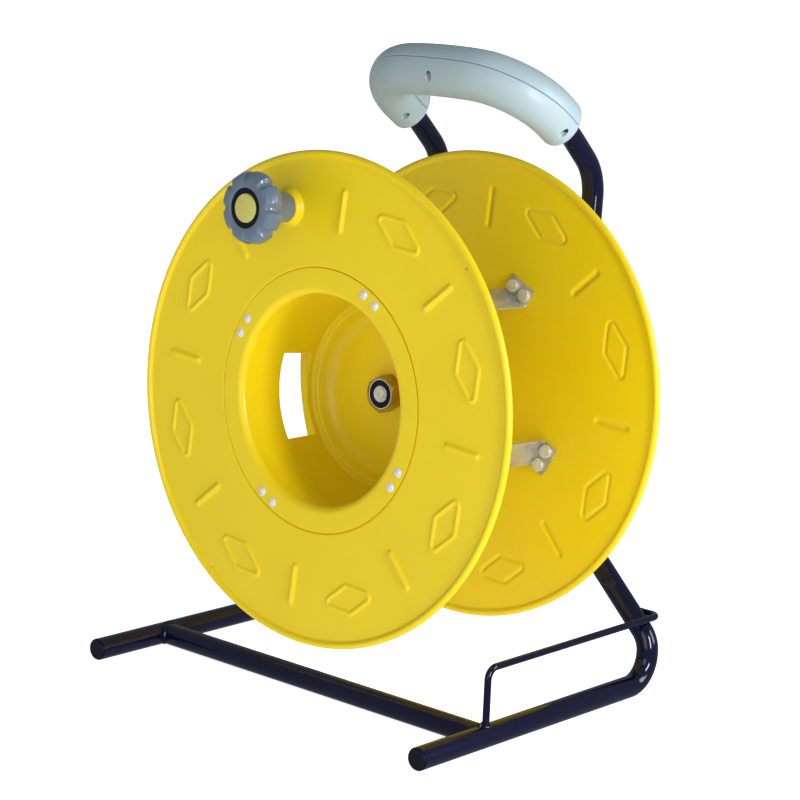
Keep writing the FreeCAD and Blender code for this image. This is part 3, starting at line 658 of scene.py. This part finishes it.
def hub_sleeve():
    """Hexagonal nose with the bearing seat, and the tube behind it."""
    nose = Shape()
    rows = hex_rows(nose_flats, nose_front, nose_back, bearing_r, both=False)
    nose.grid(rows + turned([(bearing_r, nose_back)], 96), along=True)
    # The nose gets the darkened yellow paint: painted shade.
    nose.build("hub_nose_hexagon", REEL, "drum", "yellow_paint", finish="nose_painted_shade")
    tube = Shape()
    line = [(sleeve_r, nose_back), (sleeve_r, sleeve_end), (14.0, sleeve_end), (14.0, 152.0), (9.0, 152.0),
            (9.0, bearing_u[1]), (bearing_r, bearing_u[1]), (bearing_r, nose_back)]
    tube.grid(turned(line, 96), along=True)
    tube.build("hub_sleeve_tube", REEL, "drum", "yellow_paint", ["hub_sleeve"])


def ripple(count, beats, depth):
    """Factors of 1 to 1 + depth, in scallops, for a bead of weld."""
    return 1 + depth * np.abs(np.sin(np.arange(count) * math.pi * beats / count))


def sleeve_weld():
    """Rippled bead round the sleeve's rear end."""
    count = 180
    shape = Shape()
    loop = [(17.0, 0), (18.6, 0), (18.2, 1.4), (17.0, 2.0), (15.6, 1.7), (14.8, 0)]
    rows = turned([(r, sleeve_end + h) for r, h in loop], count)
    wave = (ripple(count, 30, 0.25) - 1)[:, None]
    centre = turned([(16.6, sleeve_end)], count)[0]
    rows = [row + (row - centre) * wave * (row[:, 1:2] > sleeve_end + 0.1) for row in rows]
    shape.grid(rows, along=True)
    shape.build("sleeve_weld_bead", REEL, "drum", "yellow_paint", ["sleeve_weld"])


def front_bearing():
    """Outer and inner rings, with a lipped seal between them."""
    front, back = bearing_u
    near, far = inner_ring_r
    seal_seat = front + 0.9
    outer = [(9.2, seal_seat), (10.2, seal_seat), (10.2, front), (bearing_r, front), (bearing_r, back)]
    outer += [(9.2, back)]
    inner = [(near, front), (far, front), (far, back), (near, back)]
    seal = [(6.15, 0.5), (6.8, 0.15), (7.5, 0.4), (9.2, 0.4), (10.15, 0.15), (10.15, 0.85), (6.15, 0.85)]
    seal = [(r, front + u) for r, u in seal]
    lathe("front_bearing_outer", outer, [0, 0, 0.2, 0.3, 0.3, 0.3], "drum", "bearing_steel",
          ["front_bearing_outer_ring"])
    lathe("front_bearing_inner", inner, [0.3] * 4, "frame", "bearing_steel", ["front_bearing_inner_ring"])
    lathe("front_bearing_lip_seal", seal, [0.1, 0.1, 0.1, 0.1, 0, 0, 0], "drum", "seal_rubber",
          ["front_bearing_seal"])


def spindle():
    """Grooved nose, shaft, collar and tail with a centre drilling at each end."""
    shape = Shape()
    nose = [(1.0, 64.6), (1.6, 63.4), (3.5, 63.4), (4, 63.8)]
    groove = [(4, 64), (3.5, 64), (3.5, 64.9), (4, 64.9)]
    shaft = [(4, 72), (6, 72), (6, 160), (8, 160), (8, plate_front), (6, plate_front)]
    tail = [(6, 206.4), (5, 207.5), (1.8, 207.5), (0.8, 206)]
    shape.bar(turned(nose + groove + shaft + tail, 48))
    shape.build("spindle_turned", REEL, "frame", "zinc", ["spindle"], finish="bearing_steel")


def spindle_clip():
    """Snap ring, open on one side, with an eye at each end."""
    shape = Shape()
    a = np.radians(np.linspace(28, 332, 60))
    path = np.column_stack([4.5 * np.cos(a), np.full(len(a), 64.45), 4.5 * np.sin(a)])
    shape.bar(swept(path, rounded_box(0.8, 1.8, 0.2), (0, 1, 0)))
    for side in (-1, 1):
        spot = vec(5.2, 0, side * 2.5)
        eye = turned([(0.5, 64.05), (1.3, 64.05), (1.3, 64.85), (0.5, 64.85)], 20)
        shape.grid([line + spot for line in eye], along=True)
    shape.build("spindle_clip_ring", REEL, "frame", "bearing_steel", ["spindle_clip"])


# ---- core straps ----
strap_wide = 23.0
strap_thick = 1.5
strap_r = 80.75         # middle of the strip between the flanges
foot_end = 94.6
foot_u = (2.55, 163.25)
strap_line = rounded(
    [(foot_end, foot_u[0]), (strap_r, foot_u[0]), (strap_r, foot_u[1]), (foot_end, foot_u[1])],
    [3.2, 3.2],
    step=10,
)


def core_straps():
    """Folded strips with soft edges, each its own piece."""
    section = rounded_box(strap_wide, strap_thick, 0.45)
    path = np.column_stack([strap_line, np.zeros(len(strap_line))])
    rows = swept(path, section, (0, 0, 1))
    for i, turn in enumerate(strap_turns):
        shape = Shape()
        shape.bar([around(row, turn) for row in rows])
        shape.build(f"core_strap_strip_{i + 1}", REEL, "drum", "zinc", [f"core_strap_{i + 1}"])


def strap_fasteners():
    """Round-headed bolts through the straps' rear feet, with nuts behind the rear flange."""
    bolts = Shape()
    nuts = Shape()
    seat = foot_u[1] - strap_thick / 2 - 0.05
    head = [(0.0, 0.0), *rounded([(5.0, 0.0), (4.9, 2.8), (0.0, 2.95)], [0.6], step=18)]
    tail = [(0.0, 0.0), (2.5, 0.0), (2.5, 4.4), (2.0, 5.0), (0.0, 5.0)]
    for turn in fixing_turns:
        headed(bolts, head, around([(fixing_r, seat, 0)], turn)[0], -1)
        headed(bolts, tail, around([(fixing_r, sleeve_end, 0)], turn)[0], 1, 20)
        spot = around([(fixing_r, 0, 0)], turn)[0]
        nut = hex_rows(8.0, sleeve_end, sleeve_end + 4.0, 2.5, 48, 0.15)
        nuts.grid([row + spot for row in nut], along=True)
    # The bolt heads get the rivets' silver darkened and tinted: painted shade and painted reflection.
    bolts.build("strap_bolts_domed", REEL, "drum", "rivet_silver", ["strap_bolts"], finish="bolt_painted_shade")
    nuts.build("strap_nuts_hexagon", REEL, "drum", "zinc", ["strap_nuts"])


# ---- knob ----
# Its u is counted from the knob joint, on the front flange's middle.
knob_front = -45.5
knob_back = knob_front + 13.9
knob_outer = 25.5
front_round = 6.8       # across the rounding of the front edge
front_deep = 7.8        # along it
back_round = 4.2
groove_turn = math.radians(5.0)
groove_at = 27.1        # centre of a groove's circle
groove_r = 3.9
groove_soft = 0.3       # width over which groove and rim blend
knob_count = 320
lobe_step = math.pi / 4
recess_r = 14.0         # for the black ring
neck_end = -6.5


def lobed():
    """Outline radius of the knob at each angle: eight lobes with narrow round grooves."""
    a = np.arange(knob_count) * 2 * math.pi / knob_count
    off = (a - groove_turn + lobe_step / 2) % lobe_step - lobe_step / 2
    inside_root = groove_r ** 2 - (groove_at * np.sin(off)) ** 2
    groove = groove_at * np.cos(off) - np.sqrt(np.clip(inside_root, 0, None))
    groove = np.where(inside_root > 0, groove, groove_at * 1.2)
    gap = np.clip(0.5 + 0.5 * (groove - knob_outer) / groove_soft, 0, 1)
    return groove * (1 - gap) + knob_outer * gap - groove_soft * gap * (1 - gap)


def crank_knob():
    """Rings from the bore through the face's recess, over the lobes, to the neck and back."""
    a = np.arange(knob_count) * 2 * math.pi / knob_count
    edge = lobed()
    rows = []

    def ring(radius, u):
        r = radius * np.ones(knob_count)
        rows.append(np.column_stack([r * np.cos(a), np.full(knob_count, u), r * np.sin(a)]))

    for r, u in ((6.0, neck_end), (6.0, -36.0), (9.0, -36.0)):
        ring(r, u)
    ring(9.0, knob_front + 3.0)
    for wider, deep in ((0, 3.0), (0, 0.5), (0.15, 0.15), (0.5, 0.0)):
        ring(recess_r + wider, knob_front + deep)
    for t in np.linspace(0, math.pi / 2, 12):
        ring(edge - front_round * (1 - math.sin(t)), knob_front + front_deep * (1 - math.cos(t)))
    for t in np.linspace(0, math.pi / 2, 7):
        ring(edge - back_round * (1 - math.cos(t)), knob_back - back_round * (1 - math.sin(t)))
    for r, behind in ((15.0, 0.9), (13.0, 1.5), (11.7, 2.6), (11.0, 4.4)):
        ring(r, knob_back + behind)
    ring(10.9, neck_end - 0.5)
    ring(10.5, neck_end)
    shape = Shape()
    shape.grid(rows, along=True)
    shape.build("crank_knob_lobed", KNOB, "knob", "knob_grey", ["crank_knob"], 32)


def knob_face_parts():
    """Black ring and khaki cap in the face, and the nut of the pin behind the flange."""
    ring = [(10.4, -44.6), (12.0, -44.9), (recess_r, -44.6), (recess_r, -42.5), (10.4, -42.5)]
    lathe("knob_ring_black", ring, [0.3, 0.6, 0.3, 0, 0], "knob", "black_plastic", ["knob_ring"], KNOB, 96)
    cap = Shape()
    top = rounded([(10.1, -42.5), (10.1, -45.3), (0.0, -45.7)], [0.8], step=15)
    under = [(0.0, -43.5), (7.8, -43.5), (7.8, -41.1), (8.95, -41.1), (8.95, -42.5)]
    cap.grid(turned([*under, *top], 96))
    cap.build("knob_cap_khaki", KNOB, "knob", "cap_khaki", ["knob_cap"])
    shape = Shape()
    shape.grid(hex_rows(10.0, -3.8, 1.2, 3.3, 60, 0.2), along=True)
    shape.build("knob_nut_hexagon", KNOB, "drum", "zinc", ["knob_nut"])


# ---- stand ----
def floor_point(x, u, v):
    """A point of the reel frame, in the floor frame."""
    return vec(*(TO_FLOOR @ Vector((x, u, v))))


rim_spot = TO_FLOOR @ Vector((0, 0, 0))      # middle of the front flange
rod_r = 2.5             # wire guide
guide_z = 55.3          # its long run
knee_v = -167.0         # where the tube starts to slope inwards
knee_slope = 0.951
cross_y = rim_spot.y + 7.3
guide_y = rim_spot.y + 9.0
rail_front = rim_spot.y - 60.4
neck_angle = math.radians(41.0)
grip_angle = math.radians(31.0)
neck_length = 42.0
neck_v = 165.6
crossbar_along = 73.5   # the tube's top run, and its bends, in the grip plane
crossbar_bend = 54.0


def in_grip(x, along, off=0.0):
    """A point of the grip plane, in the floor frame; off is towards the lower front side."""
    g = vec(0, -math.cos(grip_angle), math.sin(grip_angle))
    n = vec(0, -g[2], g[1])
    neck = neck_length * vec(0, -math.cos(neck_angle), math.sin(neck_angle))
    start = vec(x, upright_u, neck_v) + neck
    return floor_point(*(start + g * along + n * off))


def stand_path(step=4.0):
    """Middle line of the bent tube, from one rail's front end over the grip to the other's."""
    lean_v = (tube_r - rim_spot.z + upright_u * math.sin(LEAN)) / math.cos(LEAN)
    half = [
        vec(rail_x, rail_front, tube_r),
        floor_point(rail_x, upright_u, lean_v),
        floor_point(rail_x, upright_u, knee_v),
        floor_point(upright_x, upright_u, knee_v + (rail_x - upright_x) * knee_slope),
        floor_point(upright_x, upright_u, neck_v),
        in_grip(upright_x, 0.0),
        in_grip(upright_x, crossbar_along),
    ]
    radii = [21.0, 22.0, 30.0, 37.0, 50.0, crossbar_bend]
    corners = half + [p * vec(-1, 1, 1) for p in half[::-1]]
    return rounded(corners, radii + radii[::-1], step=step)


def bead(shape, path, radius, up, beats, depth=0.22, taper=True, closed=False, sides=14):
    """Weld run along a line: a rippled bar, thinned at open ends."""
    count = len(path)
    rows = swept(path, circle(1.0, sides), up)
    wave = radius * ripple(count, beats, depth)
    if taper:
        wave = wave * np.clip(np.minimum(np.arange(count), count - 1 - np.arange(count)) / 4 + 0.35, 0, 1)
    rows = [spot + (line - spot) * w for spot, line, w in zip(path, rows, wave)]
    if closed:
        shape.grid(rows[:-1], along=True)
    else:
        shape.bar(rows)


def stand():
    """Bent tube, cross tube, plugs in the rails' front ends, and the welds of the cross tube."""
    tube = Shape()
    tube.bar(swept(stand_path(), circle(tube_r, 48), (0, 0, 1)))
    tube.build("frame_tube_bent", FLOOR, "frame", "black_paint", ["frame_tube"], 50)
    cross = Shape()
    ends = [vec(side * (rail_x - 2), cross_y, tube_r) for side in (-1, 1)]
    cross.bar(swept(np.linspace(*ends, 9), circle(tube_r, 48), (0, 0, 1)))
    cross.build("cross_tube_round", FLOOR, "frame", "black_paint", ["cross_tube"], 50)
    plugs = Shape()
    corners = [(7.5, 3.0), (7.5, 0.0), (7.6, -0.9), (6.0, -1.5), (5.2, -1.1), (0.01, -1.2)]
    rim = rounded(corners, [0, 0.3, 0.7, 0.5])
    for side in (-1, 1):
        spot = vec(side * rail_x, rail_front, tube_r)
        plugs.bar([line + spot for line in turned(rim, 48)])
    plugs.build("rail_plugs_rimmed", FLOOR, "frame", "black_plastic", ["rail_plugs"])
    welds = Shape()
    a = np.radians(np.linspace(-48, 86, 34))
    reach = (tube_r + 0.4) * np.cos(a)
    z = tube_r + (tube_r + 0.2) * np.sin(a)
    for side in (-1, 1):
        for half in (-1, 1):
            run = np.column_stack([side * (rail_x - reach), cross_y + half * reach, z])
            bead(welds, run, 1.5, (0, 0, 1), 9)
    welds.build("tube_welds_beads", FLOOR, "frame", "black_paint", ["tube_welds"])


def guide_end():
    """Where the guide rod crosses the inclined tube's rear side."""
    v = (guide_z - rim_spot.z + upright_u * math.sin(LEAN)) / math.cos(LEAN)
    spot = floor_point(rail_x - (v - knee_v) / knee_slope, upright_u, v)
    return spot + vec(0, rod_r + tube_r + 0.03, 0)


def guide():
    """Rod from the right rail up and across to the inclined tube, welded at both ends."""
    end = guide_end()
    corners = [(rail_x, guide_y, tube_r + 7), (rail_x, guide_y, guide_z), (rail_x, end[1], guide_z),
               (end[0] - 6, end[1], guide_z)]
    path = rounded(corners, [8.0, 7.0], step=6)
    rod = Shape()
    lines = swept(path, circle(rod_r, 28), (0, 1, 0))
    tip = lines[-1].mean(0)
    ahead = unit(tip - lines[-2].mean(0))
    lines += [tip + (lines[-1] - tip) * 0.85 + ahead * 0.5]
    rod.bar(lines)
    rod.build("wire_guide_rod", FLOOR, "frame", "black_paint", ["wire_guide"], 50)
    welds = Shape()
    a = np.linspace(0, 2 * math.pi, 49)
    reach = rod_r + 0.6
    z = 2 * tube_r - 0.4 - 0.5 * np.cos(a) ** 2
    foot = np.column_stack([rail_x + reach * np.cos(a), guide_y + reach * np.sin(a), z])
    bead(welds, foot, 1.1, (0, 0, 1), 9, taper=False, closed=True)
    for side in (-1, 1):
        run = np.linspace((end[0] - 4.5, 0, 0), (end[0] + 4.5, 0, 0), 20)
        run += vec(0, end[1] - rod_r - 0.9, guide_z + side * 2.0)
        bead(welds, run, 1.5, (0, 0, 1), 4)
    welds.build("guide_welds_beads", FLOOR, "frame", "black_paint", ["guide_welds"])


def axle():
    """Flat plate between the uprights with its welds, and the spindle's washer and nut behind it."""
    wide = 2 * (upright_x + tube_r)
    high = 50.0
    corner_r = 8.0
    edges = [(0.7, 0.0), (0.2, 0.2), (0.0, 0.7)]
    steps = [(inset, plate_front + deep) for inset, deep in edges]
    steps += [(inset, plate_back - deep) for inset, deep in edges[::-1]]
    rows = []
    for inset, u in steps:
        loop = rounded_box(wide - 2 * inset, high - 2 * inset, corner_r - inset, step=10)
        rows.append(np.column_stack([loop[:, 0], np.full(len(loop), u), loop[:, 1]]))
    plate = Shape()
    plate.bar(rows)
    plate.build("axle_plate_flat", REEL, "frame", "black_paint", ["axle_plate"])
    welds = Shape()
    for side in (-1, 1):
        for edge in (-1, 1):
            spot = vec(side * upright_x + edge * 4.2, plate_back + 1.0, 0)
            bead(welds, np.linspace((0, 0, -20), (0, 0, 20), 40) + spot, 1.7, (1, 0, 0), 11)
    welds.build("plate_welds_beads", REEL, "frame", "black_paint", ["plate_welds"])
    nut_seat = plate_back + 2.5
    washer = [(6, plate_back), (12, plate_back), (12, nut_seat), (6, nut_seat)]
    lathe("spindle_washer_flat", washer, [0, 0.4, 0.4, 0], "frame", "zinc", ["spindle_washer"])
    nut = Shape()
    nut.grid(hex_rows(19.0, nut_seat, nut_seat + 10.0, 6.0, 96, 0.3), along=True)
    nut.build("spindle_nut_hexagon", REEL, "frame", "zinc", ["spindle_nut"])


# ---- grip ----
# The grip plane starts at the necks' upper ends and rises to the front; along is measured up it.
grip_off = -2.5         # parting plane of the shells, on the upper side of the tube's middle
shell_gap = 0.2         # half the gap between the shells
grip_leg_x = 71.9
grip_turn_r = 48.0
grip_crown_r = 295.0
grip_top = 72.8
grip_end = 8.7
grip_middle = (18.1, 19.0)      # half width and half thickness at the middle
grip_leg = (15.6, 18.6)         # and at the two ends
end_round = 4.5
grip_hollow_r = 9.6
grip_collar = 24.5      # the hollow closes in on the tube below this
screw_hole_r = 2.65
grip_screws = [(-62.0, 24.4), (83.8, 19.9), (3.1, 85.6)]


def grip_stations():
    """Whole grip line as x, along, half width and half thickness."""
    low = grip_top - grip_crown_r
    corner = low + math.sqrt((grip_crown_r - grip_turn_r) ** 2 - (grip_leg_x - grip_turn_r) ** 2)
    turn = math.atan2(grip_leg_x - grip_turn_r, corner - low)
    line = []
    for a in np.linspace(0, turn, 9)[:-1]:
        line.append((grip_crown_r * math.sin(a), low + grip_crown_r * math.cos(a)))
    inner_x = grip_leg_x - grip_turn_r
    for a in np.linspace(turn, math.pi / 2, 22):
        line.append((inner_x + grip_turn_r * math.sin(a), corner + grip_turn_r * math.cos(a)))
    line += [(grip_leg_x, along) for along in (21.0, 18.0)]
    line += [(grip_leg_x, grip_end + end_round * (1 - math.sin(a))) for a in np.linspace(0, math.pi / 2, 9)]
    line = np.array(line)
    run = np.concatenate([[0], np.cumsum(np.linalg.norm(np.diff(line, axis=0), axis=1))])
    blend = (run / run[-1]) ** 2
    left = np.clip((run[-1] - run) / end_round, 0, 1)
    shrink = end_round * (1 - np.sqrt(1 - (1 - left) ** 2))
    size = [m + (e - m) * blend - shrink for m, e in zip(grip_middle, grip_leg)]
    half = np.column_stack([line, *size])
    return np.vstack([half[:0:-1] * vec(-1, 1, 1, 1), half])


def grip_section(w, h, side, channel, radius):
    """Closed outline of one moulding: (across, off) about the grip line; side +1 is the lower shell."""
    a = np.linspace(0, math.pi, 41)
    soft = 0.6
    outside = np.column_stack([w * np.cos(a), h * np.sin(a) * side])
    outside[0] = (w - soft, side * shell_gap)
    outside[-1] = (-w + soft, side * shell_gap)
    outside = np.insert(outside, 1, (w - 0.05, side * (soft + 0.15)), axis=0)
    outside = np.insert(outside, -1, (-w + 0.05, side * (soft + 0.15)), axis=0)
    reach = math.sqrt(radius ** 2 - grip_off ** 2)
    start = math.atan2(grip_off, -reach)
    finish = math.atan2(grip_off, reach)
    if side > 0:
        start += 2 * math.pi
    b = np.linspace(start, finish, 25)
    inner = np.column_stack([channel + radius * np.cos(b), -grip_off + radius * np.sin(b)])
    inner[[0, -1], 1] = side * shell_gap
    return np.vstack([outside, inner])


def tube_crossing(tube, spot, ahead):
    """Where the tube's line goes through the grip's section at a spot."""
    offset = (tube - spot) @ ahead
    found = []
    for i in np.nonzero(np.diff(np.sign(offset)))[0]:
        found.append(tube[i] + (tube[i + 1] - tube[i]) * offset[i] / (offset[i] - offset[i + 1]))
    return min(found, key=lambda p: np.linalg.norm(p - spot))


def screw_hole(x, along):
    """Closed cylinder out through the lower shell, where a screw's head sits."""
    drill = Shape()
    line = [in_grip(x, along, off) for off in (5.5, 12, 40)]
    drill.bar(swept(line, circle(screw_hole_r, 32), (1, 0, 0)))
    return drill


def grip():
    """Two mouldings round the crossbar, hollow between their collars."""
    stations = grip_stations()
    ahead = np.gradient(stations[:, :2], axis=0)
    ahead /= np.linalg.norm(ahead, axis=1)[:, None]
    leg = -30.0
    corners = [(-upright_x, leg), (-upright_x, crossbar_along), (upright_x, crossbar_along), (upright_x, leg)]
    tube = rounded(corners, [crossbar_bend] * 2, step=3)
    for side, name in ((1, "lower"), (-1, "upper")):
        shape = Shape()
        lines = []
        for (x, along, w, h), t in zip(stations, ahead):
            middle = vec(x, along)
            across = vec(-t[1], t[0])
            channel = (tube_crossing(tube, middle, t) - middle) @ across
            opened = np.clip((along - grip_collar) / 1.5, 0, 1)
            radius = tube_r + 0.02 + (grip_hollow_r - tube_r) * opened
            section = grip_section(w, h, side, channel, radius)
            flat = middle + section[:, :1] * across
            lines.append([in_grip(*p, grip_off + n) for p, n in zip(flat, section[:, 1])])
        shape.bar(lines)
        shell = shape.build(f"grip_{name}_moulding", FLOOR, "frame", "grip_grey", [f"grip_{name}_shell"], 40)
        if side > 0:
            carve(shell, [(screw_hole(*spot), FLOOR) for spot in grip_screws], 40)


front_flange()
rear_flange()
hub_cup()
hub_sleeve()
sleeve_weld()
front_bearing()
spindle()
spindle_clip()
core_straps()
ring_rivets()
strap_fasteners()
crank_knob()
knob_face_parts()
stand()
guide()
axle()
grip()

# ---- camera ----
camera_data = bpy.data.cameras.new("camera")
camera_data.lens = 108.65
camera_data.sensor_width = 36.0
camera_data.clip_end = 50.0
camera = bpy.data.objects.new("camera", camera_data)
bpy.context.scene.collection.objects.link(camera)
bpy.context.scene.camera = camera
azimuth, elevation, roll = (math.radians(a) for a in (41.4369, 11.2494, 2.4109))
distance = 1638.3
aim_offset = Vector((76.74, 0.0, 13.24))        # from the drum's joint
target = aim_offset * MM + Vector(joints["drum_spin"]["pos_m"])
back = Vector((
    math.sin(azimuth) * math.cos(elevation),
    -math.cos(azimuth) * math.cos(elevation),
    math.sin(elevation),
))
right = (-back).cross(Vector((0, 0, 1))).normalized()
up = right.cross(-back)
right_r = math.cos(roll) * right + math.sin(roll) * up
up_r = math.cos(roll) * up - math.sin(roll) * right
pose = Matrix((right_r, up_r, back)).transposed().to_4x4()
camera.matrix_world = Matrix.Translation(target + back * distance * MM) @ pose

# ---- room and light ----
room_r = 9.0
room_high = 7.0
room_sides = 64
floor_z = -0.0002
room_ring = circle(room_r, room_sides)


def white(name, glow):
    """Plain studio white that also glows a little, so the room stays even."""
    made = surface(name, (0.88, 0.88, 0.88), (0.87, 0.87, 0.87), (0.7, 0.8), patch=0.5, grain=0.02, spec=0.1)
    shader = made.node_tree.nodes["Principled BSDF"]
    shader.inputs["Emission Color"].default_value = (1, 1, 1, 1)
    shader.inputs["Emission Strength"].default_value = glow
    return made


def stage(name, points, faces, glow):
    """A part of the room, left out of reflections."""
    mesh = bpy.data.meshes.new(name)
    mesh.from_pydata(points, [], faces)
    mesh.materials.append(white(name, glow))
    backdrop = bpy.data.objects.new(name, mesh)
    bpy.context.scene.collection.objects.link(backdrop)
    backdrop.visible_glossy = False
    return backdrop


stage("floor", [(x, y, floor_z) for x, y in room_ring], [range(room_sides)], 0.88)
wall_points = [(x, y, z) for z in (floor_z, room_high) for x, y in room_ring]
wall_faces = []
for i in range(room_sides):
    j = (i + 1) % room_sides
    wall_faces.append((i, j, j + room_sides, i + room_sides))
wall = stage("wall", wall_points, wall_faces, 1.1)
wall.visible_diffuse = False
wall.visible_shadow = False


def area_light(name, spot, aim, size, power, color=(1, 1, 1)):
    """Rectangular lamp at a spot, turned to what it is aimed at."""
    data = bpy.data.lights.new(name, "AREA")
    data.shape = "RECTANGLE"
    data.size, data.size_y = size
    data.energy = power
    data.color = color
    lamp = bpy.data.objects.new(name, data)
    bpy.context.scene.collection.objects.link(lamp)
    lamp.location = spot
    lamp.rotation_euler = (Vector(aim) - Vector(spot)).to_track_quat("-Z", "Y").to_euler()


area_light("key", (2.25, -0.5, 0.7), (0, 0, 0.25), (0.32, 1.1), 33, (0.96, 0.98, 1.0))
area_light("front_fill", (1.2, -2.6, 0.7), (0, 0, 0.2), (1.6, 1.6), 13)
area_light("top", (0.6, -0.4, 2.6), (0, 0, 0.2), (1.2, 1.2), 1)
area_light("edge", (2.0, 1.1, 1.0), (0, 0, 0.3), (0.8, 1.2), 22)
world = bpy.data.worlds.new("world")
world.use_nodes = True
sky = world.node_tree.nodes["Background"]
sky.inputs["Color"].default_value = (0.84, 0.94, 1.0, 1)
sky.inputs["Strength"].default_value = 0.27
bpy.context.scene.world = world
bpy.context.scene.view_settings.view_transform = "Standard"
